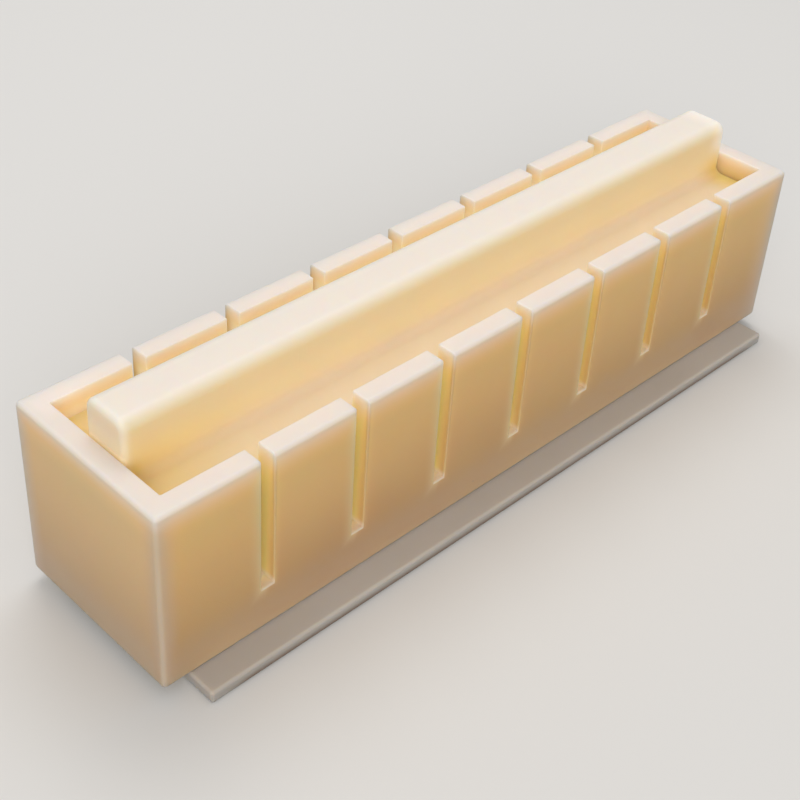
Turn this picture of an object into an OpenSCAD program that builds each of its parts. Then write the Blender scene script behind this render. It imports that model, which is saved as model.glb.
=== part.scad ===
// Long mould for pressed sushi, in three loose pieces: a four-sided frame with
// knife slots, a press with a full-length grip rib, and a stepped base that the
// frame drops over.  Millimetres.  X runs along the mould and Z is up.  The
// origin is on the surface the base stands on, under the middle of the frame.

/* [Mould frame] */
// Outer length of the frame
frame_l = 220; // [160:1:300]
// Outer width of the frame
frame_w = 50; // [44:1:80]
// Height of the frame
frame_h = 49; // [42:1:70]
// Thickness of the two end walls
end_wall = 5.5; // [3.5:0.5:8]
// Thickness of the two long walls
side_wall = 5.5; // [3.5:0.5:8]
// Rounding of the frame's outer edges
frame_edge_r = 1; // [0.4:0.1:1.5]

/* [Knife slots] */
// Number of slots in each long wall
slot_count = 7; // [2:1:9]
// Distance from each end wall to the middle of the first slot
end_slice = 23.5; // [15:0.5:30]
// Width of a slot
slot_w = 3.6; // [2:0.1:5]
// Height of the slots' bottoms above the frame's lower edge
slot_floor = 12; // [8:0.5:18]
// Rounding where a slot opens on the outer face
slot_mouth_r = 0.3; // [0.1:0.1:1.2]

/* [Press] */
// Thickness of the pressing plate
plate_t = 5; // [3:0.5:8]
// Gap between the plate and each end wall
press_end_gap = 0.5; // [0.2:0.1:1.5]
// Gap between the plate and each long wall
press_side_gap = 0.3; // [0.2:0.1:1]
// Width of the grip rib
rib_w = 13.5; // [8:0.5:20]
// Height of the grip rib above the plate
rib_h = 15.5; // [10:0.5:24]
// Rounding of the rib's long upper edges
rib_edge_r = 3; // [1:0.5:3.5]
// Rounding of the upright and upper edges of the rib's ends
rib_end_r = 1.5; // [0.5:0.5:3]
// Radius of the hollow at the foot of the rib
rib_foot_r = 2.4; // [1:0.1:4]
// How far the plate's upper face rests below the frame's rim
press_depth = 6; // [0:0.5:20]

/* [Base] */
// Thickness of the ledges that the frame stands on
ledge_t = 3.4; // [2.5:0.1:6]
// How far each ledge reaches past the frame's long wall
ledge_reach = 7.5; // [4:0.5:12]
// Gap between the base and each end wall
base_end_gap = 1.5; // [0.3:0.1:3]
// Gap between the raised step and each long wall
step_side_gap = 0.4; // [0.2:0.1:1]
// Rounding of the ledges' outer edges
ledge_edge_r = 0.8; // [0.3:0.1:1.2]
// Rounding of the raised step's upper edges
step_edge_r = 0.6; // [0.2:0.1:1.2]

/* [Hidden] */
$fn = 64;
// What a cutting body runs past the face that it cuts
past = 1;

room_l = frame_l - 2 * end_wall;
room_w = frame_w - 2 * side_wall;
slot_pitch = (room_l - 2 * end_slice) / (slot_count - 1);

plate_l = room_l - 2 * press_end_gap;
plate_w = room_w - 2 * press_side_gap;
rib_foot = min(rib_foot_r, (plate_w - rib_w) / 2 - 1);
rib_round = min(rib_edge_r, rib_w / 2 - 0.5);
rib_end = min(rib_end_r, rib_round);
press_h = plate_t + rib_h;
// Height of the plate's underside above the frame's lower edge
press_height = frame_h - press_depth - plate_t;

base_l = room_l - 2 * base_end_gap;
base_w = frame_w + 2 * ledge_reach;
step_w = room_w - 2 * step_side_gap;
// The step fills the frame up to the bottoms of the slots
step_h = slot_floor;

ivory = [0.93, 0.83, 0.66];
ivory_pale = [0.95, 0.87, 0.73];
ivory_grey = [0.84, 0.78, 0.68];

// Rectangle centred on the origin, with four true arcs at its corners
module rounded_rect(l, w, r) {
    square([l, w - 2 * r], center = true);
    square([l - 2 * r, w], center = true);
    for (sx = [-1, 1], sy = [-1, 1])
        translate([sx * (l / 2 - r), sy * (w / 2 - r)]) circle(r);
}

// Section drawn as (Y, Z), run along X and centred on the origin
module along_x(length) {
    rotate([90, 0, 90])
        linear_extrude(length, center = true) children();
}

// Section drawn as (X, Z), run along Y and centred on the origin
module along_y(length) {
    rotate([90, 0, 0])
        linear_extrude(length, center = true) children();
}

// Block with all its edges rounded, standing on Z = 0
module soft_block(l, w, h, r) {
    intersection() {
        linear_extrude(h) rounded_rect(l, w, r);
        translate([0, 0, h / 2]) along_x(l + past) rounded_rect(w, h, r);
        translate([0, 0, h / 2]) along_y(w + past) rounded_rect(l, h, r);
    }
}

// Plan of one slot's cut through a long wall, with its outer mouth at Y = 0
// and the wall lying towards +Y
module slot_plan() {
    translate([-slot_w / 2, -past]) square([slot_w, side_wall + 2 * past]);
    difference() {
        translate([-slot_w / 2 - slot_mouth_r, -past])
            square([slot_w + 2 * slot_mouth_r, slot_mouth_r + past]);
        for (s = [-1, 1])
            translate([s * (slot_w / 2 + slot_mouth_r), slot_mouth_r])
                circle(slot_mouth_r);
    }
}

module mold_frame() {
    color(ivory)
    translate([0, 0, ledge_t])
    difference() {
        soft_block(frame_l, frame_w, frame_h, frame_edge_r);
        // The room for the rice, open above and below
        translate([-room_l / 2, -room_w / 2, -past])
            cube([room_l, room_w, frame_h + 2 * past]);
        // Slots that guide the knife, in facing pairs
        for (side = [0, 180], i = [0 : slot_count - 1])
            rotate([0, 0, side])
                translate([(i - (slot_count - 1) / 2) * slot_pitch, -frame_w / 2, slot_floor])
                    linear_extrude(frame_h) slot_plan();
    }
}

// Section of the press: the plate, the rib and the hollow at each side of its foot
module press_section() {
    translate([-plate_w / 2, 0]) square([plate_w, plate_t]);
    translate([-rib_w / 2, plate_t / 2]) square([rib_w, press_h - rib_round - plate_t / 2]);
    translate([-rib_w / 2 + rib_round, plate_t / 2])
        square([rib_w - 2 * rib_round, press_h - plate_t / 2]);
    for (s = [-1, 1]) {
        translate([s * (rib_w / 2 - rib_round), press_h - rib_round]) circle(rib_round);
        difference() {
            translate([s * (rib_w / 2 + rib_foot / 2), plate_t + rib_foot / 2])
                square(rib_foot, center = true);
            translate([s * (rib_w / 2 + rib_foot), plate_t + rib_foot]) circle(rib_foot);
        }
    }
}

// Ends of the press seen from the side: the rib's upper corners are rounded
module press_profile() {
    translate([-plate_l / 2, -past])
        square([plate_l, press_h - rib_end + past]);
    translate([-plate_l / 2 + rib_end, -past])
        square([plate_l - 2 * rib_end, press_h + past]);
    for (s = [-1, 1])
        translate([s * (plate_l / 2 - rib_end), press_h - rib_end]) circle(rib_end);
}

module press() {
    color(ivory_pale)
    translate([0, 0, ledge_t + press_height])
    difference() {
        intersection() {
            along_x(plate_l) press_section();
            along_y(plate_w + past) press_profile();
        }
        // Rounds the rib's four upright corners, down to the plate
        for (sx = [-1, 1], sy = [-1, 1])
            translate([sx * plate_l / 2, sy * rib_w / 2, plate_t])
                mirror([sx > 0 ? 1 : 0, 0, 0]) mirror([0, sy > 0 ? 1 : 0, 0])
                    linear_extrude(press_h) corner_waste();
    }
}

// What is cut off an upright corner at the origin that lies towards +X and +Y
module corner_waste() {
    difference() {
        translate([-past, -rib_foot - past])
            square([rib_end + past, rib_end + rib_foot + past]);
        translate([rib_end, rib_end]) circle(rib_end);
        translate([rib_end, -rib_foot - 2 * past])
            square([rib_end, rib_end + rib_foot + 2 * past]);
    }
}

// Section of the base: two thin ledges and the step between them
module base_section() {
    translate([0, ledge_t / 2]) rounded_rect(base_w, ledge_t, ledge_edge_r);
    translate([-step_w / 2, 0]) square([step_w, ledge_t + step_h - step_edge_r]);
    translate([-step_w / 2 + step_edge_r, 0])
        square([step_w - 2 * step_edge_r, ledge_t + step_h]);
    for (s = [-1, 1])
        translate([s * (step_w / 2 - step_edge_r), ledge_t + step_h - step_edge_r])
            circle(step_edge_r);
}

module base_plate() {
    color(ivory_grey)
    intersection() {
        along_x(base_l) base_section();
        linear_extrude(ledge_t + step_h + past) rounded_rect(base_l, base_w, ledge_edge_r);
    }
}

mold_frame();
press();
base_plate();
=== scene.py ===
"""Dresses a long mould for pressed sushi: a slotted frame, a press with a grip rib, and a stepped base.

The three mouldings are one satin ivory plastic that light goes into. Their pale edges, golden deep places, greyer
corners, dim low faces and glowing hollows are painted light and shade in the colour. Lengths are in metres, X runs
along the mould and Z is up.
"""

import logging
import math
from collections.abc import Callable
from dataclasses import dataclass
from enum import Enum
from functools import partial, reduce

import bmesh
import bpy
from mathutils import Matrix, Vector


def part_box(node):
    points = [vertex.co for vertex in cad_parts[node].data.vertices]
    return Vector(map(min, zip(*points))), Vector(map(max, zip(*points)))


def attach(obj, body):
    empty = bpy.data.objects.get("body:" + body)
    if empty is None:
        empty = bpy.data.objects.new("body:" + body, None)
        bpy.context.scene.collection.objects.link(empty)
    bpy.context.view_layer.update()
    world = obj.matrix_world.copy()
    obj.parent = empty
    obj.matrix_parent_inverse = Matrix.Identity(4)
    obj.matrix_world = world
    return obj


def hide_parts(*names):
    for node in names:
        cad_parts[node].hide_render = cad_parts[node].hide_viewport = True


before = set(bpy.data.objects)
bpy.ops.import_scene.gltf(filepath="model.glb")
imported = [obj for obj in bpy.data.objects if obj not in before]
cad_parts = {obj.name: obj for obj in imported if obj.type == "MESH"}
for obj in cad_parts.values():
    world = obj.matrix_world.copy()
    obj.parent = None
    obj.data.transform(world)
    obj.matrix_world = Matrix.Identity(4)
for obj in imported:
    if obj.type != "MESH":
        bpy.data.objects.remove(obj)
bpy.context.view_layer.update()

log = logging.getLogger("sushi_mould")

MM = 0.001
WELD = 1e-7  # points closer than this are one point
NEAR = 0.01 * MM  # an edge this close to a face lies on it
DEPTH_DIGITS = 9  # depths are rounded to a millionth of a millimetre, so that equal ones are the same
QUARTER = math.pi / 2
FLAT_WEIGHT = 100  # how far the larger faces decide the normals beside them
BLACK = (0.0, 0.0, 0.0, 1.0)
# The base's plastic: partly its own cooler tone, partly darkened as painted shade.
BASE_SHADED_GREY = (0.56, 0.52, 0.47, 1.0)
LIGHT_REACH = (1.0, 0.8, 0.55)  # how far red, green and blue light go into the plastic, beside each other
PLASTIC_IOR = 1.5
GRAIN_STRENGTH = 0.35
GRAIN_HEIGHT = 0.05 * MM
MOST_NOISE = (0.3, 0.7)  # between these lie most values of a noise
MIX_FACTOR, MIX_FIRST, MIX_SECOND, MIXED = 0, 6, 7, 2  # a Mix node's sockets when it mixes colours
SHADER = "ShaderNodeTree"
SHAPE = "GeometryNodeTree"
FLOAT = "NodeSocketFloat"
WHOLE = "NodeSocketInt"
VECTOR = "NodeSocketVector"

Point = tuple[float, float]
Colour = tuple[float, float, float, float]
Socket = bpy.types.NodeSocket
Tree = bpy.types.NodeTree
Wire = Socket | bpy.types.Material | float | int | bool | str | tuple
Band = tuple[Wire, Wire]


class Piece(Enum):
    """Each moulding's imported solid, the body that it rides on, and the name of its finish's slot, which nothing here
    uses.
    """

    FRAME = ("mold_frame", "frame", "frame_plastic")
    PRESS = ("press", "press", "press_plastic")
    BASE = ("base_plate", "base", "base_plastic")


def put(name: str, data: bpy.types.ID) -> bpy.types.Object:
    """Makes an object of a mesh, a lamp or a camera, and puts it in the scene."""
    made = bpy.data.objects.new(name, data)
    bpy.context.scene.collection.objects.link(made)
    return made


# ---- Node trees ----


class Graph:
    """A node tree that is being wired, whether it makes a shape or a finish."""

    def __init__(self, tree: Tree) -> None:
        """Empties a tree and gets ready to wire it."""
        self.tree = tree
        tree.nodes.clear()

    def add(self, kind: str, wires: dict[str | int, Wire] | None = None, **settings: object) -> bpy.types.Node:
        """Adds a node, sets its properties and feeds its inputs.

        Args:
            kind: the node's type, such as ShaderNodeMath.
            wires: what feeds each input, by its name or index: another node's output, or a plain value.
            settings: the node's own properties.

        Returns:
            The new node.
        """
        node = self.tree.nodes.new(kind)
        for name, value in settings.items():
            setattr(node, name, value)
        for name, value in (wires or {}).items():
            self.feed(node.inputs[name], value)
        return node

    def feed(self, socket: Socket, value: Wire) -> None:
        """Links an output to an input, or sets the input's own value.

        Args:
            socket: the input.
            value: an output socket to link, or the value to set.
        """
        if isinstance(value, Socket):
            self.tree.links.new(value, socket)
        else:
            socket.default_value = value

    def reckon(self, operation: str, *values: Wire) -> Socket:
        """Adds a Math node, in shape and finish trees alike, with the values as its inputs, and gives its result."""
        return self.add("ShaderNodeMath", dict(enumerate(values)), operation=operation).outputs[0]

    def plus(self, first: Wire, second: Wire) -> Socket:
        """Adds two values."""
        return self.reckon("ADD", first, second)

    def minus(self, first: Wire, second: Wire) -> Socket:
        """Takes the second value from the first."""
        return self.reckon("SUBTRACT", first, second)

    def times(self, first: Wire, second: Wire) -> Socket:
        """Multiplies two values."""
        return self.reckon("MULTIPLY", first, second)

    def times_plus(self, first: Wire, second: Wire, third: Wire) -> Socket:
        """Multiplies two values and adds a third."""
        return self.reckon("MULTIPLY_ADD", first, second, third)

    def distance(self, value: Wire) -> Socket:
        """The size of a value, whatever its sign."""
        return self.reckon("ABSOLUTE", value)

    def least(self, first: Wire, second: Wire) -> Socket:
        """The smaller of two values."""
        return self.reckon("MINIMUM", first, second)

    def most(self, *values: Wire) -> Socket:
        """The largest of several values."""
        return reduce(lambda first, second: self.reckon("MAXIMUM", first, second), values)

    def ramp(self, value: Wire, band: Band, results: Band) -> Socket:
        """Maps a value smoothly from a band to the results at its ends, and holds it past them."""
        wires = {"Value": value, "From Min": band[0], "From Max": band[1], "To Min": results[0], "To Max": results[1]}
        return self.add("ShaderNodeMapRange", wires, interpolation_type="SMOOTHSTEP").outputs["Result"]

    def rise(self, value: Wire, band: Band, top: Wire = 1.0) -> Socket:
        """Rises smoothly from 0 to the top over a band of the value."""
        return self.ramp(value, band, (0.0, top))

    def fall(self, value: Wire, band: Band, top: Wire = 1.0) -> Socket:
        """Falls smoothly from the top to 0 over a band of the value."""
        return self.ramp(value, band, (top, 0.0))

    def falloff(self, distance: Wire, reach: Wire) -> Socket:
        """Fades an effect with the distance from where it starts.

        Args:
            distance: the distance, which may be a little below nothing on a rounding.
            reach: the distance at which the effect ends.

        Returns:
            1 at no distance, falling ever more slowly to 0.
        """
        left = self.minus(1.0, self.reckon("DIVIDE", distance, reach))
        held = self.add("ShaderNodeClamp", {"Value": left}).outputs[0]
        return self.reckon("POWER", held, 2.0)

    def noise(self, place: Wire, scale: Wire, detail: float) -> bpy.types.Node:
        """Adds a Noise Texture node, with so many lumps per metre and so many finer layers of detail."""
        return self.add("ShaderNodeTexNoise", {"Vector": place, "Scale": scale, "Detail": detail})

    def effect(self, group: Tree, wires: dict[str, Wire]) -> bpy.types.NodeOutputs:
        """Places a shared effect in a finish, and gives its outputs."""
        return self.add("ShaderNodeGroup", wires, node_tree=group).outputs

    def tint(self, factor: Wire, first: Wire, second: Wire) -> Socket:
        """Mixes two colours: the factor is 0 for the first colour and 1 for the second."""
        wires = {MIX_FACTOR: factor, MIX_FIRST: first, MIX_SECOND: second}
        return self.add("ShaderNodeMix", wires, data_type="RGBA").outputs[MIXED]


class Group(Graph):
    """A node group with named sockets, whose inputs are read by their names."""

    def __init__(self, name: str, kind: str, inputs: dict[str, float | str], outputs: dict[str, str]) -> None:
        """Makes the group.

        Args:
            name: its name.
            kind: SHADER or SHAPE.
            inputs: each input's default number, or its socket type if it has none, by name.
            outputs: each output's socket type, by name.
        """
        super().__init__(bpy.data.node_groups.new(name, kind))
        sockets = self.tree.interface
        for label, value in inputs.items():
            socket_type = value if isinstance(value, str) else WHOLE if isinstance(value, int) else FLOAT
            socket = sockets.new_socket(name=label, in_out="INPUT", socket_type=socket_type)
            if not isinstance(value, str):
                socket.default_value = value
        for label, socket_type in outputs.items():
            sockets.new_socket(name=label, in_out="OUTPUT", socket_type=socket_type)
        self.inputs = self.add("NodeGroupInput").outputs

    def __getitem__(self, name: str) -> Socket:
        """What comes in at the input of that name."""
        return self.inputs[name]

    def close(self, wires: dict[str, Wire]) -> Tree:
        """Feeds the group's outputs, by their names, and gives its tree."""
        self.add("NodeGroupOutput", wires)
        return self.tree


# ---- Finishes ----


class Zones(str, Enum):
    """The shared effects that tell a moulding's edges, hollows and dim places apart, where light and shade are
    painted.
    """

    SLOTTED_BOX = "slotted_box"
    BLOCK = "block"


@dataclass(frozen=True)
class IvoryPlastic:
    """The finish of one moulding: the colours of its places, how far light goes into it, and its surface.

    Attributes:
        name: the material's name.
        pale: colour of the tops and of the slots' edges, a painted highlight where light soon comes out again.
        corner: colour of the corners, painted light and shade that makes them greyer than the faces.
        body: colour of the faces.
        dim: colour of the faces that little light reaches, a painted shade.
        honey: colour in the hollows, painted golden light where light goes from wall to wall; on the base, painted
            shade.
        glow: share of its own colour that a hollow gives off, a painted glow for the light that the plastic carries
            into it.
        zones: which shared effect finds those places.
        sizes: what feeds that effect's inputs, by their names.
        light_depth: how far red light goes into the plastic.
        roughness: roughness of the satin surface.
        cloud: how strongly honey clouds show in the faces.
        speck: colour of the odd speck.
    """

    name: str
    pale: Colour
    corner: Colour
    body: Colour
    dim: Colour
    honey: Colour
    glow: float
    zones: Zones
    sizes: dict[str, Wire]
    light_depth: float = 5.0 * MM
    roughness: float = 0.55
    cloud: float = 0.12
    speck: Colour = (0.42, 0.33, 0.27, 1.0)

    def material(self, effects: "PlasticEffects") -> bpy.types.Material:
        """Builds the material.

        Args:
            effects: the effects that all the mouldings share.

        Returns:
            The material.
        """
        made = bpy.data.materials.new(self.name)
        made.use_nodes = True
        graph = Graph(made.node_tree)
        place = graph.add("ShaderNodeTexCoord").outputs["Object"]
        zone = graph.effect(effects.zones[self.zones], {"Place": place, **self.sizes})
        cloud = graph.effect(effects.clouding, {"Place": place})["Cloud"]
        skin = graph.effect(effects.satin_skin, {"Place": place, "Roughness": self.roughness})
        marks = graph.effect(effects.handling_marks, {"Place": place})
        # The dim, hollow, corner and edge tones are painted light and shade; the clouds and specks are the plastic's
        # own.
        colour = self.body
        for share, tone in (
            (zone["Dim"], self.dim),
            (graph.times(cloud, self.cloud), self.honey),
            (zone["Hollow"], self.honey),
            (zone["Corner"], self.corner),
            (zone["Edge"], self.pale),
            (marks["Speck"], self.speck),
        ):
            colour = graph.tint(share, colour, tone)
        height = graph.plus(skin["Height"], marks["Height"])
        bump = graph.add("ShaderNodeBump", {"Height": height, "Strength": GRAIN_STRENGTH, "Distance": GRAIN_HEIGHT})
        surface = graph.add(
            "ShaderNodeBsdfPrincipled",
            {
                "Base Color": colour,
                "Roughness": graph.plus(skin["Roughness"], marks["Scuff"]),
                "IOR": PLASTIC_IOR,
                "Subsurface Weight": 1.0,
                "Subsurface Radius": LIGHT_REACH,
                "Subsurface Scale": self.light_depth,
                "Normal": bump.outputs["Normal"],
            },
            subsurface_method="RANDOM_WALK",
        )
        # A painted glow: the hollows give off a share of their own colour.
        if self.glow:
            carried = graph.tint(graph.times(zone["Glow"], self.glow), BLACK, colour)
            graph.feed(surface.inputs["Emission Color"], carried)
            graph.feed(surface.inputs["Emission Strength"], 1.0)
        graph.add("ShaderNodeOutputMaterial", {"Surface": surface.outputs["BSDF"]})
        return made


class ZoneGroup(Group):
    """A shared effect that tells a moulding's places apart, as it is being wired.

    It puts out masks of painted light and shade: Edge for painted highlights on tops and edges, Corner for painted
    light and shade that greys the corners, Hollow for painted golden light in the hollows and painted shade low on the
    base,
    Dim for painted shade where little light reaches, and Glow for a painted glow, as if the plastic gave off the light
    that it carries.

    Attributes:
        x: place along the moulding.
        y: place across it.
        z: height.
        from_end: distance inwards from the nearer end.
        from_side: distance inwards from the nearer side.
        from_top: depth below the top.
    """

    def __init__(self, name: str, sizes: dict[str, float]) -> None:
        """Makes the group and finds how far a place is from the moulding's faces.

        Args:
            name: the group's name.
            sizes: its inputs' default values, by their names.
        """
        outputs = dict.fromkeys(("Edge", "Corner", "Hollow", "Dim", "Glow"), FLOAT)
        super().__init__(name, SHADER, {"Place": VECTOR, **sizes}, outputs)
        self.x, self.y, self.z = self.add("ShaderNodeSeparateXYZ", {0: self["Place"]}).outputs
        self.from_end = self.minus(self["Half Length"], self.distance(self.x))
        self.from_side = self.minus(self["Half Width"], self.distance(self.y))
        self.from_top = self.minus(self["Top"], self.z)


class BlockZones(ZoneGroup):
    """The zones of a solid block, such as the press with its rib, or the base with its step."""

    SIZES = {
        "Half Length": 0.1,
        "Half Width": 0.01,
        "Top": 0.06,
        # The reaches and shares below set where light and shade are painted.
        "Edge Reach": 3.6 * MM,
        "Corner Reach": 3 * MM,
        "Hollow Start": 10 * MM,
        "Hollow End": 15.5 * MM,
        "End Hollow": 1.0,
        "Dim Length": 45 * MM,
        "Seam Glow": 3.5,
        "Far Paleness": 0.8,
    }
    CORNER_SHARE = 0.5  # how much of the corner colour, painted light and shade, shows
    END_WRAP = 3 * MM  # how far an end face's hollow colour, painted light, goes round its edges
    DIM_START = 2 * MM  # depth at which the painted shade at the near end starts
    MOST_DIM = 0.8
    CREVICE_DEPTH = (7 * MM, 14 * MM)  # the crevice, painted in shade, is where the rib's foot, an end and the frame come together
    CREVICE_LENGTH = (1 * MM, 13 * MM)
    PLATE_DEPTH = (15.6 * MM, 17 * MM)
    SEAM_START = (8.7 * MM, 9.8 * MM)  # the seam, which gets a painted glow, is the gap between an end and the frame, under its rim
    SEAM_END = (10 * MM, 13 * MM)
    SEAM_LENGTH = 1.2 * MM
    FAR_LENGTH = (1 * MM, 8 * MM)  # the far end gets painted light at the top
    FAR_DEPTH = (5 * MM, 10 * MM)
    FAR_GLOW = 3.0

    def __init__(self) -> None:
        """Makes the group."""
        super().__init__("block_zones", self.SIZES)

    def dim(self) -> Socket:
        """Finds where shade is painted, low down by the near end and in the crevices.

        Returns:
            The mask, which ends at the plate.
        """
        low = self.rise(self.from_top, (self.DIM_START, self["Hollow End"]), self.MOST_DIM)
        from_near_end = self.plus(self.x, self["Half Length"])
        near_end = self.times(low, self.fall(from_near_end, (0.0, self["Dim Length"])))
        low_down = self.rise(self.from_top, self.CREVICE_DEPTH)
        crevice = self.times(low_down, self.fall(self.from_end, self.CREVICE_LENGTH))
        return self.times(self.most(near_end, crevice), self.fall(self.from_top, self.PLATE_DEPTH))

    def far_end(self) -> Socket:
        """Finds the upper part of the far end, which gets painted light.

        Returns:
            The mask.
        """
        far = self.rise(self.x, (0.0, self["Half Length"]))
        end = self.times(far, self.fall(self.from_end, self.FAR_LENGTH, self["Far Paleness"]))
        return self.times(end, self.fall(self.from_top, self.FAR_DEPTH))

    def wired(self) -> Tree:
        """Wires the masks.

        Returns:
            The group's tree.
        """
        from_upright = self.most(self.from_end, self.distance(self.from_side))
        dim = self.dim()
        # Hollow: painted golden light low on the press and at its ends, painted shade towards the bottom of the base.
        deep = self.rise(self.from_top, (self["Hollow Start"], self["Hollow End"]))
        end_face = self.fall(self.from_end, (0.0, self.END_WRAP), self["End Hollow"])
        hollow = self.times(self.most(deep, end_face), self.minus(1.0, dim))
        # Glow: a painted glow in the seam under the frame's rim and at the far end.
        strip = self.times(self.rise(self.from_top, self.SEAM_START), self.fall(self.from_top, self.SEAM_END))
        seam = self.times(strip, self.fall(self.from_end, (0.0, self.SEAM_LENGTH)))
        far_end = self.far_end()
        painted_far_glow = self.times_plus(far_end, self.FAR_GLOW, hollow)
        return self.close(
            {
                "Edge": self.most(self.falloff(self.from_top, self["Edge Reach"]), far_end),
                "Corner": self.times(self.falloff(from_upright, self["Corner Reach"]), self.CORNER_SHARE),
                "Hollow": hollow,
                "Dim": dim,
                "Glow": self.times_plus(seam, self["Seam Glow"], painted_far_glow),
            }
        )


class SlottedBoxZones(ZoneGroup):
    """The zones of a box without a lid, with facing slots in its long walls.

    Attributes:
        above_foot: height above the box's foot.
        above_floor: height above the slots' floors.
        from_slot: distance along X from the nearest slot's side, less than nothing in the slot.
        shaded: 1 on the side of each slot where less light comes through its edge.
        from_mouth: distance from the edges where the slots open on the long walls' two faces.
        from_upright: distance from the nearest upright outer corner.
        inner: mask of what lies inside the outer faces.
        middle: mask of the room, away from the long walls.
        end_wall: mask of the end walls' inner faces.
        long_wall: mask of the long walls' inner faces and their slots.
    """

    SIZES = {
        "Half Length": 0.11,
        "Half Width": 0.025,
        "Top": 0.052,
        "Foot": 0.003,
        "Wall": 0.005,
        "Last Slot": 3.0,
        "Slot Pitch": 0.027,
        "Half Slot": 0.002,
        "Slot Floor": 0.015,
        # The reaches, strengths and palenesses below set where light and shade are painted.
        "Edge Reach": 6.8 * MM,
        "Inner Reach": 10 * MM,
        "Corner Reach": 6.5 * MM,
        "Corner Strength": 0.9,
        "Foot Paleness": 0.36,
        "Floor Paleness": 0.5,
        "Far Paleness": 0.35,
        "Far Reach": 12 * MM,
        "Slot Reach": 4 * MM,
        "Slot Edge": 0.18,
        "Slot Honey": 0.4,
        "Shaded Side": 2 * MM,
        "Dim Height": 46 * MM,
        "End Paleness": 0.13,
    }
    INNER_START = 0.1 * MM  # depth in the wall at which the honey colour of painted light starts
    INNER_SHARE = 0.6  # share of the wall at which it is full
    MIDDLE = (0.1 * MM, 7 * MM)  # distances from a long wall's inner face over which an end wall's painted corner tint grows
    END_WALL_CORNER = 0.35  # how much of the corner colour, painted light and shade, the end walls' inner faces show
    # The foot's painted light fades over this height.
    FOOT_HEIGHT = (4 * MM, 16 * MM)
    SLOT_MIDDLE = (-1 * MM, 1 * MM)  # over which one side of a slot gives way to the other
    MOUTH_REACH = (0.2 * MM, 1 * MM)  # painted shade round a slot's outer mouth, on its shaded side
    MOUTH_DIM = 0.8
    MOUTH_HEIGHT = (0.0, 2 * MM)
    MOUTH_DEPTH = (1.5 * MM, 3 * MM)
    SLOT_FLANK = (0.05 * MM, 0.3 * MM)
    FLOOR_START = (-0.4 * MM, -0.2 * MM)
    FLOOR_END = (0.2 * MM, 2.2 * MM)
    BY_RIM_DEPTH = (1 * MM, 14 * MM)  # over which the slots' edges lose the painted light that makes them paler by the rim
    BY_RIM_PALENESS = 0.25
    FAR_CORNER_SHARE = 0.5
    FAR_SIDE = (0.0, 10 * MM)  # over which the far long wall starts
    FAR_DEPTH = (2 * MM, 6 * MM)  # over which its inner face grows paler with painted light
    FAR_DEEP = 1.6
    FAR_GLOW_DEPTH = (0.0, 5 * MM)
    FAR_GLOW = (3.0, 4.5)
    GLOW_START = (1 * MM, 2.5 * MM)  # the outer faces get a little painted glow under the rim
    GLOW_END = (3 * MM, 9 * MM)
    OUTER_GLOW = 0.9

    def __init__(self) -> None:
        """Makes the group and finds where a place lies between the walls and the slots."""
        super().__init__("slotted_box_zones", self.SIZES)
        self.above_foot = self.minus(self.z, self["Foot"])
        self.above_floor = self.minus(self.z, self["Slot Floor"])
        number = self.reckon("ROUND", self.reckon("DIVIDE", self.x, self["Slot Pitch"]))
        first = self.times(self["Last Slot"], -1.0)
        slot = self.most(first, self.least(number, self["Last Slot"]))
        offset = self.minus(self.x, self.times(slot, self["Slot Pitch"]))
        self.shaded = self.rise(offset, self.SLOT_MIDDLE)
        self.from_slot = self.minus(self.distance(offset), self["Half Slot"])
        under = self.minus(self["Slot Floor"], self.z)
        from_inside = self.minus(self["Wall"], self.from_side)
        from_face = self.least(self.distance(self.from_side), self.distance(from_inside))
        self.from_mouth = self.most(self.from_slot, under, from_face)
        self.from_upright = self.most(self.from_end, self.from_side)
        inward = self.least(self.from_end, self.from_side)
        self.inner = self.rise(inward, (self.INNER_START, self.times(self["Wall"], self.INNER_SHARE)))
        self.middle = self.rise(self.minus(self.from_side, self["Wall"]), self.MIDDLE)
        self.end_wall = self.times(self.inner, self.middle)
        self.long_wall = self.minus(self.inner, self.end_wall)

    def faint_painted_light(self, beside_slot: Socket, floors: Socket, far_wall: Socket) -> Socket:
        """Finds the places painted a little paler with light: beside the slots, on the end faces and on the far side.

        Args:
            beside_slot: mask of what lies beside the slots.
            floors: mask of the slots' floors.
            far_wall: mask of the far wall's inner face.

        Returns:
            The mask.
        """
        by_rim = self.fall(self.from_top, self.BY_RIM_DEPTH, self.BY_RIM_PALENESS)
        slot_edge = self.times(beside_slot, self.plus(self["Slot Edge"], by_rim))
        end_face = self.fall(self.from_end, (0.0, self["Wall"]), self["End Paleness"])
        far_end = self.rise(self.x, (0.0, self["Half Length"]))
        far = self.most(far_end, self.rise(self.y, (0.0, self["Half Width"])))
        from_corner = self.falloff(self.from_upright, self["Far Reach"])
        far_corner = self.times(from_corner, self.times(far, self.FAR_CORNER_SHARE))
        return self.most(slot_edge, end_face, floors, far_corner, far_wall)

    def corners(self) -> Socket:
        """Finds where painted light and shade grey the upright corners, the foot and the inner end faces.

        Returns:
            The mask.
        """
        upright = self.times(self.falloff(self.from_upright, self["Corner Reach"]), self["Corner Strength"])
        foot = self.fall(self.above_foot, self.FOOT_HEIGHT, self["Foot Paleness"])
        return self.most(upright, foot, self.times(self.end_wall, self.END_WALL_CORNER))

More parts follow.
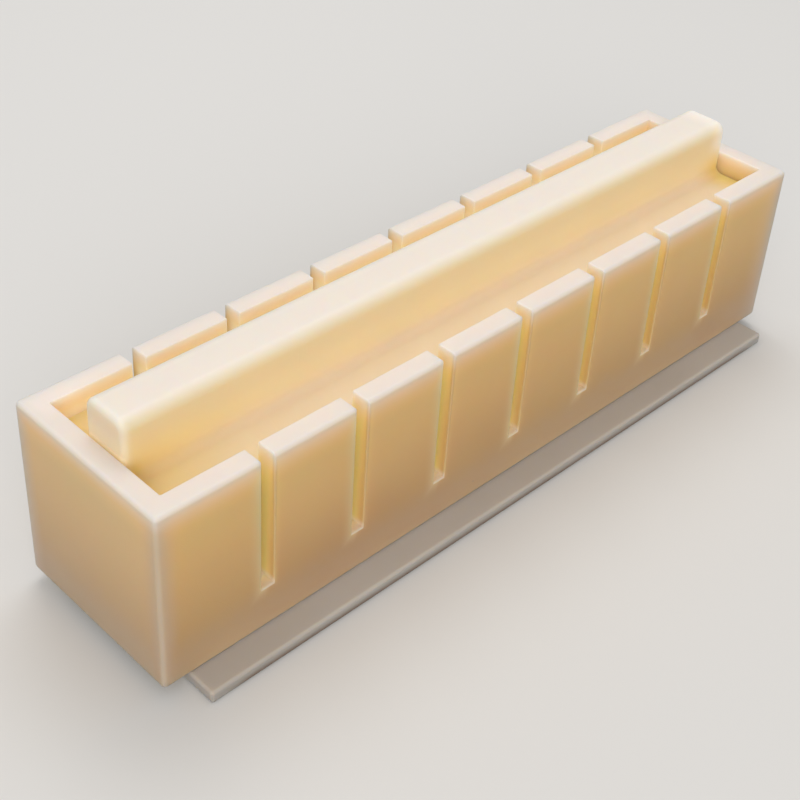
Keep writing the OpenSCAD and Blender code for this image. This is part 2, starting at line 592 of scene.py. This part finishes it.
    def dim(self) -> Socket:
        """Finds where shade is painted: darker towards the bottom and at the slots' shaded outer mouths.

        Returns:
            The mask.
        """
        along = self.rise(self.above_floor, self.MOUTH_HEIGHT)
        outer = self.times(along, self.fall(self.from_side, self.MOUTH_DEPTH))
        mouth = self.times(self.fall(self.from_mouth, self.MOUTH_REACH, self.MOUTH_DIM), self.shaded)
        low = self.fall(self.above_foot, (0.0, self["Dim Height"]))
        return self.most(low, self.times(mouth, outer))

    def glow(self, inside: Socket, floors: Socket, far_wall: Socket) -> Socket:
        """Adds up a painted glow for the light that the plastic carries inwards, down the far wall and to just under
        the rim.

        Args:
            inside: mask of what lies between the walls, below the rim.
            floors: mask of the slots' floors.
            far_wall: mask of the far wall's inner face.

        Returns:
            The strength of the glow.
        """
        below_rim = self.times(self.rise(self.from_top, self.GLOW_START), self.fall(self.from_top, self.GLOW_END))
        outer = self.most(self.times(below_rim, self.minus(self.OUTER_GLOW, self.inner)), 0.0)
        far = self.times(far_wall, self.ramp(self.from_top, self.FAR_GLOW_DEPTH, self.FAR_GLOW))
        room = self.times(inside, self.minus(1.0, self.middle))
        return self.plus(room, self.plus(outer, self.plus(floors, far)))

    def wired(self) -> Tree:
        """Wires the masks.

        Returns:
            The group's tree.
        """
        # Edge paints highlights on the rim, slots, slot floors and far wall; Hollow paints golden light inside and by
        # the slots.
        widening = self.minus(self["Inner Reach"], self["Edge Reach"])
        rim = self.falloff(self.from_top, self.times_plus(self.long_wall, widening, self["Edge Reach"]))
        inside = self.times(self.inner, self.minus(1.0, rim))
        shade = self.times(self.shaded, self["Shaded Side"])
        beside_slot = self.falloff(self.plus(self.from_mouth, shade), self["Slot Reach"])
        in_slot = self.times(self.fall(self.from_slot, self.SLOT_FLANK), self.rise(self.above_floor, self.FLOOR_START))
        floors = self.times(in_slot, self.fall(self.above_floor, self.FLOOR_END, self["Floor Paleness"]))
        far_wall = self.times(self.long_wall, self.rise(self.y, self.FAR_SIDE, self["Far Paleness"]))
        far_wall = self.times(far_wall, self.ramp(self.from_top, self.FAR_DEPTH, (1.0, self.FAR_DEEP)))
        return self.close(
            {
                "Edge": self.most(rim, self.faint_painted_light(beside_slot, floors, far_wall)),
                "Corner": self.corners(),
                "Hollow": self.most(inside, self.times(beside_slot, self["Slot Honey"])),
                "Dim": self.dim(),
                "Glow": self.glow(inside, floors, far_wall),
            }
        )


class PlasticEffects:
    """The shader groups that every moulding's finish places, each with its own values.

    Attributes:
        zones: the effects that find a moulding's edges, hollows and dim places, where light and shade are painted.
        clouding: slow warm clouds in the plastic.
        satin_skin: the moulded surface.
        handling_marks: scratches and specks.
    """

    def __init__(self) -> None:
        """Builds the groups once."""
        self.zones = {Zones.SLOTTED_BOX: SlottedBoxZones().wired(), Zones.BLOCK: BlockZones().wired()}
        self.clouding = self.make_clouding()
        self.satin_skin = self.make_satin_skin()
        self.handling_marks = self.make_handling_marks()

    def make_clouding(self) -> Tree:
        """Builds the group of slow warm clouds in the plastic.

        Returns:
            The group, whose Cloud goes from 0 to 1.
        """
        inputs = {"Place": VECTOR, "Clouds Per Metre": 22.0}
        graph = Group("clouding", SHADER, inputs, {"Cloud": FLOAT})
        noise = graph.noise(graph["Place"], graph["Clouds Per Metre"], detail=2.0)
        return graph.close({"Cloud": graph.rise(noise.outputs[0], MOST_NOISE)})

    def make_satin_skin(self) -> Tree:
        """Builds the group of the moulded surface: a fine grain over a faint waviness.

        Returns:
            The group, with a Height for bump and a Roughness that varies round its input.
        """
        inputs = {
            "Place": VECTOR,
            "Grains Per Metre": 2600.0,
            "Waves Per Metre": 90.0,
            "Wave Share": 2.0,
            "Roughness": 0.4,
            "Less Rough": -0.05,
            "More Rough": 0.05,
        }
        graph = Group("satin_skin", SHADER, inputs, {"Height": FLOAT, "Roughness": FLOAT})
        grain = graph.noise(graph["Place"], graph["Grains Per Metre"], detail=2.0)
        waves = graph.noise(graph["Place"], graph["Waves Per Metre"], detail=1.0)
        height = graph.times_plus(waves.outputs[0], graph["Wave Share"], grain.outputs[0])
        swing = graph.ramp(waves.outputs[0], MOST_NOISE, (graph["Less Rough"], graph["More Rough"]))
        return graph.close({"Height": height, "Roughness": graph.plus(graph["Roughness"], swing)})

    def make_handling_marks(self) -> Tree:
        """Builds the group of handling marks: sparse hair scratches and the odd dark speck.

        Returns:
            The group, with a Height and a Scuff for the scratches, and a Speck mask.
        """
        inputs = {
            "Place": VECTOR,
            "Scratches Per Metre": 55.0,
            "Scratch Width": 0.006,
            "Scratch Height": -0.8,
            "Scratch Roughness": 0.12,
            "Bends Per Metre": 30.0,
            "Bend Size": 0.02,
            "Patches Per Metre": 70.0,
            "Bare Patch": 0.55,
            "Scratched Patch": 0.66,
            "Specks Per Metre": 42.0,
            "Speck Core": 0.006,
            "Speck Size": 0.016,
            "Speck Strength": 0.5,
        }
        graph = Group("handling_marks", SHADER, inputs, {"Height": FLOAT, "Scuff": FLOAT, "Speck": FLOAT})
        bent = graph.noise(graph["Place"], graph["Bends Per Metre"], detail=1.0)
        drift = graph.add("ShaderNodeVectorMath", {0: bent.outputs[1], "Scale": graph["Bend Size"]}, operation="SCALE")
        place = graph.add("ShaderNodeVectorMath", {0: graph["Place"], 1: drift.outputs[0]}, operation="ADD")
        cells = graph.add(
            "ShaderNodeTexVoronoi",
            {"Vector": place.outputs[0], "Scale": graph["Scratches Per Metre"]},
            feature="DISTANCE_TO_EDGE",
        )
        patches = graph.noise(graph["Place"], graph["Patches Per Metre"], detail=1.0)
        scratched = graph.rise(patches.outputs[0], (graph["Bare Patch"], graph["Scratched Patch"]))
        scratch = graph.times(graph.fall(cells.outputs["Distance"], (0.0, graph["Scratch Width"])), scratched)
        dots = graph.add("ShaderNodeTexVoronoi", {"Vector": graph["Place"], "Scale": graph["Specks Per Metre"]})
        dot = graph.fall(dots.outputs["Distance"], (graph["Speck Core"], graph["Speck Size"]))
        return graph.close(
            {
                "Height": graph.times(scratch, graph["Scratch Height"]),
                "Scuff": graph.times(scratch, graph["Scratch Roughness"]),
                "Speck": graph.times(dot, graph["Speck Strength"]),
            }
        )


# ---- Shapes ----


def arc(centre: Point, radius: float, start: float, end: float, steps: int) -> list[Point]:
    """Points along an arc of a circle, both ends included, with so many chords and its angles in quarter turns."""
    angles = [(start + (end - start) * i / steps) * QUARTER for i in range(steps + 1)]
    return [(centre[0] + radius * math.cos(a), centre[1] + radius * math.sin(a)) for a in angles]


def mirrored(right: list[Point]) -> list[Point]:
    """Closes half a section, given from its lowest point up, with its mirror image."""
    return right + [(-y, z) for y, z in reversed(right)]


def rounding(depth: float, radius: float) -> float:
    """How far a rounded end draws a section in.

    Args:
        depth: distance of the section from the end's face.
        radius: the end's rounding.

    Returns:
        The inset, from the radius at the face to nothing where the rounding ends.
    """
    if depth >= radius:
        return 0.0
    return radius - math.sqrt(radius**2 - (radius - depth) ** 2)


def skin_over(
    name: str, middle: float, half: float, radii: list[float], steps: int, section: Callable[[float], list[Point]]
) -> bpy.types.Object:
    """Lays a closed skin along X over a section that both ends' roundings draw in.

    Args:
        name: the object's name.
        middle: the skin's middle on X.
        half: half its length.
        radii: the roundings that meet at each end.
        steps: chords of each rounding.
        section: gives the section's points, as (Y, Z), at a distance from an end's face.

    Returns:
        The object, at the origin.
    """
    chords = range(steps + 1)
    depths = sorted({round(r * (1 - math.cos(QUARTER * i / steps)), DEPTH_DIGITS) for r in radii for i in chords})
    stations = [(middle - half + d, section(d)) for d in depths]
    stations += [(middle + half - d, section(d)) for d in reversed(depths)]
    shape = bmesh.new()
    rings = [[shape.verts.new((x, y, z)) for y, z in points] for x, points in stations]
    for one, other in zip(rings, rings[1:]):
        for i, corner in enumerate(one):
            after = (i + 1) % len(one)
            shape.faces.new((corner, one[after], other[after], other[i]))
    shape.faces.new(rings[0])
    shape.faces.new(rings[-1])
    bmesh.ops.remove_doubles(shape, verts=shape.verts, dist=WELD)
    bmesh.ops.dissolve_degenerate(shape, edges=shape.edges, dist=WELD)
    bmesh.ops.recalc_face_normals(shape, faces=shape.faces)
    mesh = bpy.data.meshes.new(name)
    shape.to_mesh(mesh)
    shape.free()
    return put(name, mesh)


def settle(made: bpy.types.Object) -> bpy.types.Object:
    """Turns an object's modifiers into its mesh, with flat faces kept flat beside their roundings.

    Args:
        made: the object.

    Returns:
        The same object, with a plain mesh and no modifier.
    """
    if made.data.polygons:
        made.data.shade_smooth()
    made.modifiers.new("flat_faces", "WEIGHTED_NORMAL").weight = FLAT_WEIGHT
    depsgraph = bpy.context.evaluated_depsgraph_get()
    mesh = bpy.data.meshes.new_from_object(made.evaluated_get(depsgraph), depsgraph=depsgraph)
    made.modifiers.clear()
    made.data = mesh
    mesh.name = made.name
    return made


def dress(made: bpy.types.Object, material: bpy.types.Material, piece: Piece) -> None:
    """Gives a piece its finish and its place in the assembly.

    Args:
        made: the piece's object.
        material: its finish.
        piece: which moulding it is.
    """
    node, body, slot = piece.value
    made.data.materials.clear()
    made.data.materials.append(material)
    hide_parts(node)
    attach(made, body)
    log.info("%s: %d faces", made.name, len(made.data.polygons))


def middle_and_half(piece: Piece) -> tuple[Vector, Vector]:
    """The middle of a moulding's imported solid, and half its length, width and height."""
    low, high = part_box(piece.value[0])
    return (low + high) / 2, (high - low) / 2


@dataclass
class MouldFrame:
    """The four-sided frame: two end walls, and two long walls with facing knife slots.

    Attributes:
        wall: thickness of the walls.
        slot_count: slots in each long wall.
        slot_pitch: distance between slots.
        slot_width: width of a slot.
        slot_floor: height of the slots' bottoms above the frame's lower edge.
        outer_round: rounding of the outer edges.
        inner_share: rounding of the other edges, the slots' mouths among them, as a share of outer_round.
        round_steps: chords of a rounding.
    """

    wall: float = 5.5 * MM
    slot_count: int = 7
    slot_pitch: float = 27 * MM
    slot_width: float = 3.6 * MM
    slot_floor: float = 12 * MM
    outer_round: float = 1.0 * MM
    inner_share: float = 0.3
    round_steps: int = 4

    def shape_tree(self, sizes: dict[str, float]) -> Tree:
        """Builds the tree that cuts the room and the repeated slots out of a block.

        Args:
            sizes: its inputs' default values, by their names.

        Returns:
            The tree, which also has an input for the frame's finish.
        """
        inputs = {**sizes, "Finish": "NodeSocketMaterial"}
        graph = Group("slotted_frame", SHAPE, inputs, {"Frame": "NodeSocketGeometry"})
        block = self.stood_block(graph, graph["Length"], graph["Width"], graph["Height"], graph["Stand"])
        walls = graph.times(graph["Wall"], 2.0)
        tall = graph.times(graph["Height"], 2.0)
        room_length = graph.minus(graph["Length"], walls)
        room_width = graph.minus(graph["Width"], walls)
        below = graph.minus(graph["Stand"], graph.times(graph["Height"], 0.5))
        room = self.stood_block(graph, room_length, room_width, tall, below)
        across = graph.times(graph["Width"], 2.0)
        floor = graph.plus(graph["Stand"], graph["Slot Floor"])
        knife = self.stood_block(graph, graph["Slot Width"], across, tall, floor)
        spread = graph.times(graph.minus(graph["Slot Count"], 1.0), graph["Slot Pitch"])
        first = graph.times(spread, -0.5)
        line = graph.add(
            "GeometryNodeMeshLine",
            {
                "Count": graph["Slot Count"],
                "Start Location": graph.add("ShaderNodeCombineXYZ", {"X": first}).outputs[0],
                "Offset": graph.add("ShaderNodeCombineXYZ", {"X": graph["Slot Pitch"]}).outputs[0],
            },
        )
        knives = graph.add("GeometryNodeInstanceOnPoints", {"Points": line.outputs[0], "Instance": knife})
        cuts = graph.add("GeometryNodeRealizeInstances", {0: knives.outputs[0]})
        hollow = graph.add("GeometryNodeMeshBoolean", {"Mesh 1": block, "Mesh 2": room}, operation="DIFFERENCE")
        slotted = graph.add(
            "GeometryNodeMeshBoolean", {"Mesh 1": hollow.outputs[0], "Mesh 2": cuts.outputs[0]}, operation="DIFFERENCE"
        )
        weighted = self.weigh_edges(graph, slotted.outputs[0])
        finished = graph.add("GeometryNodeSetMaterial", {"Geometry": weighted, "Material": graph["Finish"]})
        smooth = graph.add("GeometryNodeSetShadeSmooth", {0: finished.outputs[0], "Shade Smooth": True})
        real = graph.add("GeometryNodeRealizeInstances", {0: smooth.outputs[0]})
        return graph.close({"Frame": real.outputs[0]})

    def stood_block(self, graph: Graph, length: Wire, width: Wire, height: Wire, stand: Wire) -> Socket:
        """Adds a block that is centred on the origin in plan.

        Args:
            graph: the tree.
            length: its size on X.
            width: its size on Y.
            height: its size on Z.
            stand: the height of its underside.

        Returns:
            The block.
        """
        size = graph.add("ShaderNodeCombineXYZ", {"X": length, "Y": width, "Z": height}).outputs[0]
        lift = graph.times_plus(height, 0.5, stand)
        cube = graph.add("GeometryNodeMeshCube", {"Size": size})
        place = graph.add("ShaderNodeCombineXYZ", {"Z": lift}).outputs[0]
        return graph.add("GeometryNodeTransform", {"Geometry": cube.outputs[0], "Translation": place}).outputs[0]

    def weigh_edges(self, graph: Group, shape: Socket) -> Socket:
        """Marks how strongly each edge is rounded: fully on the outside, and less in the room and at the slots.

        Args:
            graph: the tree.
            shape: the frame.

        Returns:
            The frame, with its edges' weights stored.
        """
        x, y, z = graph.add("ShaderNodeSeparateXYZ", {0: graph.add("GeometryNodeInputPosition").outputs[0]}).outputs
        half_height = graph.times(graph["Height"], 0.5)
        from_middle = graph.distance(graph.minus(graph.minus(z, graph["Stand"]), half_height))
        past_end = graph.minus(graph.distance(x), graph.times(graph["Length"], 0.5))
        past_side = graph.minus(graph.distance(y), graph.times(graph["Width"], 0.5))
        past_level = graph.minus(from_middle, half_height)
        nearest = graph.most(past_end, graph.least(past_side, past_level))
        outside = graph.reckon("GREATER_THAN", nearest, -NEAR)
        weight = graph.most(outside, graph["Inner Share"])
        return graph.add(
            "GeometryNodeStoreNamedAttribute",
            {"Geometry": shape, "Name": "bevel_weight_edge", "Value": weight},
            data_type="FLOAT",
            domain="EDGE",
        ).outputs[0]

    def build(self, effects: PlasticEffects) -> bpy.types.Object:
        """Makes the frame, in its place.

        Args:
            effects: the finishes' shared effects.

        Returns:
            The piece.
        """
        centre, half = middle_and_half(Piece.FRAME)
        stand = centre.z - half.z
        # The body is partly the plastic's own colour, partly painted golden light that comes through the walls; the
        # pale, corner, dim and honey tones and the glow are painted light and shade.
        finish = IvoryPlastic(
            "ivory_frame",
            pale=(0.875, 0.78, 0.715, 1.0),
            corner=(0.60, 0.475, 0.36, 1.0),
            body=(0.965, 0.62, 0.235, 1.0),
            dim=(0.61, 0.35, 0.16, 1.0),
            honey=(0.985, 0.795, 0.32, 1.0),
            glow=0.06,
            zones=Zones.SLOTTED_BOX,
            sizes={
                "Half Length": half.x,
                "Half Width": half.y,
                "Top": centre.z + half.z,
                "Foot": stand,
                "Wall": self.wall,
                "Last Slot": (self.slot_count - 1) / 2,
                "Slot Pitch": self.slot_pitch,
                "Half Slot": self.slot_width / 2,
                "Slot Floor": stand + self.slot_floor,
            },
        )
        material = finish.material(effects)
        made = put("moulded_frame", bpy.data.meshes.new("moulded_frame"))
        sizes = {
            "Length": 2 * half.x,
            "Width": 2 * half.y,
            "Height": 2 * half.z,
            "Stand": stand,
            "Wall": self.wall,
            "Slot Count": self.slot_count,
            "Slot Pitch": self.slot_pitch,
            "Slot Width": self.slot_width,
            "Slot Floor": self.slot_floor,
            "Inner Share": self.inner_share,
        }
        shaper = made.modifiers.new("slots", "NODES")
        shaper.node_group = self.shape_tree(sizes)
        values = {**sizes, "Finish": material}
        for socket in shaper.node_group.interface.items_tree:
            if socket.in_out == "INPUT":
                shaper[socket.identifier] = values[socket.name]
        edges = made.modifiers.new("soft_edges", "BEVEL")
        edges.width = self.outer_round
        edges.segments = self.round_steps
        edges.limit_method = "WEIGHT"
        edges.harden_normals = False
        settle(made)
        dress(made, material, Piece.FRAME)
        return made


@dataclass
class Press:
    """The press: a pressing plate and a full-length grip rib in one moulding.

    Attributes:
        plate: thickness of the plate.
        rib_width: width of the rib.
        rib_round: rounding of the rib's long upper edges.
        rib_end_round: rounding of the edges of the rib's ends.
        foot_round: radius of the hollow at the rib's foot.
        plate_round: rounding of the plate's edges.
        round_steps: chords of a quarter rounding.
        small_steps: chords of the plate's small quarter roundings.
    """

    plate: float = 5 * MM
    rib_width: float = 13.5 * MM
    rib_round: float = 3 * MM
    rib_end_round: float = 1.5 * MM
    foot_round: float = 2.4 * MM
    plate_round: float = 0.4 * MM
    round_steps: int = 7
    small_steps: int = 3

    def section(self, half: Vector, centre: Vector, depth: float) -> list[Point]:
        """The press's section at a distance from its end.

        Args:
            half: half the press's length, width and height.
            centre: the press's middle.
            depth: the distance from the end's face.

        Returns:
            The closed section.
        """
        plate_in = rounding(depth, self.plate_round)
        rib_in = rounding(depth, self.rib_end_round)
        low = centre.z - half.z
        side = half.y - plate_in
        plate_top = low + self.plate - plate_in
        plate_edge = self.plate_round - plate_in
        rib = self.rib_width / 2 - rib_in
        rib_top = centre.z + half.z - rib_in
        rib_edge = self.rib_round - rib_in
        foot = self.foot_round
        right = [
            *arc((side - plate_edge, low + plate_in + plate_edge), plate_edge, -1, 0, self.small_steps),
            *arc((side - plate_edge, plate_top - plate_edge), plate_edge, 0, 1, self.small_steps),
            *arc((rib + foot, plate_top + foot), foot, -1, -2, self.round_steps),
            *arc((rib - rib_edge, rib_top - rib_edge), rib_edge, 0, 1, self.round_steps),
        ]
        return mirrored(right)

    def build(self, effects: PlasticEffects) -> bpy.types.Object:
        """Makes the press, in its place.

        Args:
            effects: the finishes' shared effects.

        Returns:
            The piece.
        """
        centre, half = middle_and_half(Piece.PRESS)
        radii = [self.rib_end_round, self.plate_round]
        section = partial(self.section, half, centre)
        made = settle(skin_over("grip_press", centre.x, half.x, radii, self.round_steps, section))
        # The body is partly the plastic's own colour, partly painted golden light that comes through the rib; the
        # pale, corner, dim and honey tones and the glow are painted light and shade.
        finish = IvoryPlastic(
            "ivory_press",
            pale=(0.92, 0.83, 0.74, 1.0),
            corner=(0.84, 0.71, 0.56, 1.0),
            body=(0.92, 0.75, 0.45, 1.0),
            dim=(0.98, 0.68, 0.22, 1.0),
            honey=(0.92, 0.75, 0.53, 1.0),
            glow=0.05,
            zones=Zones.BLOCK,
            sizes={"Half Length": half.x, "Half Width": self.rib_width / 2, "Top": centre.z + half.z},
        )
        dress(made, finish.material(effects), Piece.PRESS)
        return made


@dataclass
class Base:
    """The base: thin ledges that the frame stands on, and the raised step that fits in it.

    Attributes:
        ledge: thickness of the ledges.
        step_width: width of the raised step.
        ledge_round: rounding of the ledges' outer edges and of the ends.
        step_round: rounding of the step's upper edges.
        foot_round: radius of the hollow at the step's foot.
        round_steps: chords of a quarter rounding.
        foot_steps: chords of the small hollow.
    """

    ledge: float = 3.4 * MM
    step_width: float = 38.2 * MM
    ledge_round: float = 0.8 * MM
    step_round: float = 0.6 * MM
    foot_round: float = 0.25 * MM
    round_steps: int = 5
    foot_steps: int = 3

    def section(self, half: Vector, top: float, depth: float) -> list[Point]:
        """The base's section at a distance from its end.

        Args:
            half: half the base's length, width and height.
            top: height of the step's upper face.
            depth: the distance from the end's face.

        Returns:
            The closed section.
        """
        ledge_in = rounding(depth, self.ledge_round)
        step_in = rounding(depth, self.step_round)
        edge = self.ledge_round - ledge_in
        side = half.y - self.ledge_round
        step_edge = self.step_round - step_in
        step = self.step_width / 2
        foot = self.foot_round
        ledge_top = self.ledge - ledge_in
        right = [
            *arc((side, self.ledge_round), edge, -1, 0, self.round_steps),
            *arc((side, self.ledge - self.ledge_round), edge, 0, 1, self.round_steps),
            *arc((step - step_in + foot, ledge_top + foot), foot, -1, -2, self.foot_steps),
            *arc((step - self.step_round, top - self.step_round), step_edge, 0, 1, self.round_steps),
        ]
        return mirrored(right)

    def build(self, effects: PlasticEffects) -> bpy.types.Object:
        """Makes the base, in its place.

        Args:
            effects: the finishes' shared effects.

        Returns:
            The piece.
        """
        centre, half = middle_and_half(Piece.BASE)
        top = centre.z + half.z
        radii = [self.ledge_round, self.step_round]
        section = partial(self.section, half, top)
        made = settle(skin_over("stepped_base", centre.x, half.x, radii, self.round_steps, section))
        # The pale tone is a painted highlight on the step's top, the corner and honey tones painted shade at the edges
        # and towards the bottom, and the grey body the base's plastic partly darkened as painted shade.
        finish = IvoryPlastic(
            "ivory_base",
            pale=(0.80, 0.72, 0.63, 1.0),
            corner=(0.45, 0.40, 0.35, 1.0),
            body=BASE_SHADED_GREY,
            dim=BASE_SHADED_GREY,
            honey=(0.25, 0.155, 0.095, 1.0),
            glow=0.0,
            zones=Zones.BLOCK,
            sizes={
                "Half Length": half.x,
                "Half Width": half.y,
                "Top": top,
                "Corner Reach": 1.2 * MM,
                "Hollow Start": top - 2.4 * MM,
                "Hollow End": top - 0.3 * MM,
                "End Hollow": 0.0,
                "Dim Length": 0.1 * MM,
                "Far Paleness": 0.0,
            },
            light_depth=2.5 * MM,
            roughness=0.6,
        )
        dress(made, finish.material(effects), Piece.BASE)
        return made


# ---- Studio ----


@dataclass(frozen=True)
class SoftBox:
    """A soft rectangular studio lamp that points at the mould.

    Attributes:
        name: the lamp's name.
        place: where it hangs.
        side: its width and height.
        power: its power in watts.
        colour: its light's colour.
    """

    name: str
    place: Vector
    side: float
    power: float
    colour: tuple[float, float, float] = (1.0, 0.98, 0.96)

    def hang(self, aim: Vector) -> None:
        """Puts the lamp in the scene.

        Args:
            aim: the point that it shines at.
        """
        lamp = bpy.data.lights.new(self.name, "AREA")
        lamp.shape = "SQUARE"
        lamp.size = self.side
        lamp.energy = self.power
        lamp.color = self.colour
        hung = put(self.name, lamp)
        hung.location = self.place
        hung.rotation_mode = "QUATERNION"
        hung.rotation_quaternion = (aim - self.place).to_track_quat("-Z", "Y")


@dataclass
class Studio:
    """The camera, the lamps and the pale floor round the mould.

    Attributes:
        camera_place: where the camera stands.
        camera_turn: its turn about X, Y and Z, in degrees.
        lens: its focal length in millimetres, on a sensor 36 mm wide.
        shift: its lens shift across and up, as shares of the frame.
        clip: the nearest and the farthest distance that it sees.
        floor_side: side of the square floor.
        floor_shown: the floor's colour as the camera and reflections see it.
        floor_mottled: the colour of its faint mottles.
        floor_mottles: mottles per metre.
        floor_contrast: values of the noise between which the floor turns mottled.
        floor_share: how much of the mottles' colour shows at most.
        floor_bounce: the floor's colour as light bounces off it.
        sky_shown: the background's brightness as the camera sees it.
        sky_light: how strongly the surroundings light the mould.
        lamps: a key lamp behind and above the mould, and a larger fill lamp in front.
        aim: the point that the lamps shine at.
    """

    camera_place: Vector = Vector((-0.23101, -0.20195, 0.24982))
    camera_turn: tuple[float, float, float] = (54.663, -2.489, -43.670)
    lens: float = 66.02
    shift: tuple[float, float] = (0.03, -0.0875)
    clip: tuple[float, float] = (0.01, 50.0)
    floor_side: float = 12.0
    floor_shown: Colour = (0.80, 0.79, 0.77, 1.0)
    floor_mottled: Colour = (0.70, 0.70, 0.70, 1.0)
    floor_mottles: float = 3.0
    floor_contrast: Band = (0.2, 0.8)
    floor_share: float = 0.05
    floor_bounce: Colour = (0.10, 0.10, 0.10, 1.0)
    sky_shown: Colour = (0.86, 0.85, 0.83, 1.0)
    sky_light: Colour = (0.50, 0.50, 0.50, 1.0)
    lamps: tuple[SoftBox, ...] = (
        SoftBox("key_lamp", Vector((0.20, 0.30, 0.80)), side=0.5, power=2.2),
        SoftBox("fill_lamp", Vector((-1.22, -1.18, 0.87)), side=1.4, power=17.6),
    )
    aim: Vector = Vector((0.0, 0.0, 0.03))

    def set_camera(self) -> None:
        """Puts the camera at the photograph's place and angle."""
        lens = bpy.data.cameras.new("studio_camera")
        lens.lens = self.lens
        lens.shift_x, lens.shift_y = self.shift
        lens.clip_start, lens.clip_end = self.clip
        camera = put("studio_camera", lens)
        camera.location = self.camera_place
        camera.rotation_euler = [math.radians(turn) for turn in self.camera_turn]
        bpy.context.scene.camera = camera

    def floor_finish(self) -> bpy.types.Material:
        """Makes the floor's matt finish, which bounces less light than it shows.

        Returns:
            The material.
        """
        made = bpy.data.materials.new("pale_floor")
        made.use_nodes = True
        graph = Graph(made.node_tree)
        ray = graph.add("ShaderNodeLightPath").outputs
        seen = graph.most(ray["Is Camera Ray"], ray["Is Glossy Ray"])
        mottle = graph.noise(graph.add("ShaderNodeTexCoord").outputs["Object"], self.floor_mottles, detail=2.0)
        share = graph.rise(mottle.outputs[0], self.floor_contrast, self.floor_share)
        shade = graph.tint(share, self.floor_shown, self.floor_mottled)
        shown = graph.add("ShaderNodeBsdfDiffuse", {"Color": shade})
        bounced = graph.add("ShaderNodeBsdfDiffuse", {"Color": self.floor_bounce})
        both = graph.add("ShaderNodeMixShader", {0: seen, 1: bounced.outputs[0], 2: shown.outputs[0]})
        graph.add("ShaderNodeOutputMaterial", {"Surface": both.outputs[0]})
        return made

    def lay_floor(self) -> None:
        """Lays the floor that the mould stands on."""
        shape = bmesh.new()
        bmesh.ops.create_grid(shape, x_segments=1, y_segments=1, size=self.floor_side / 2)
        mesh = bpy.data.meshes.new("studio_floor")
        shape.to_mesh(mesh)
        shape.free()
        mesh.materials.append(self.floor_finish())
        floor = put("studio_floor", mesh)

    def set_sky(self) -> None:
        """Sets the even light of the surroundings, and the pale background that the camera sees."""
        sky = bpy.data.worlds.new("studio_sky")
        sky.use_nodes = True
        graph = Graph(sky.node_tree)
        ray = graph.add("ShaderNodeLightPath").outputs
        lit = graph.add("ShaderNodeBackground", {"Color": self.sky_light})
        shown = graph.add("ShaderNodeBackground", {"Color": self.sky_shown})
        both = graph.add("ShaderNodeMixShader", {0: ray["Is Camera Ray"], 1: lit.outputs[0], 2: shown.outputs[0]})
        graph.add("ShaderNodeOutputWorld", {"Surface": both.outputs[0]})
        bpy.context.scene.world = sky

    def hang_lamps(self) -> None:
        """Hangs the lamps."""
        for lamp in self.lamps:
            lamp.hang(self.aim)

    def build(self) -> None:
        """Sets up the whole studio."""
        bpy.context.scene.view_settings.view_transform = "Standard"
        self.set_camera()
        self.lay_floor()
        self.set_sky()
        self.hang_lamps()


def main() -> None:
    """Builds the studio and the three mouldings."""
    logging.basicConfig(level=logging.INFO, format="%(name)s: %(message)s")
    Studio().build()
    effects = PlasticEffects()
    for part in (Base(), MouldFrame(), Press()):
        part.build(effects)


if __name__ == "__main__":
    main()
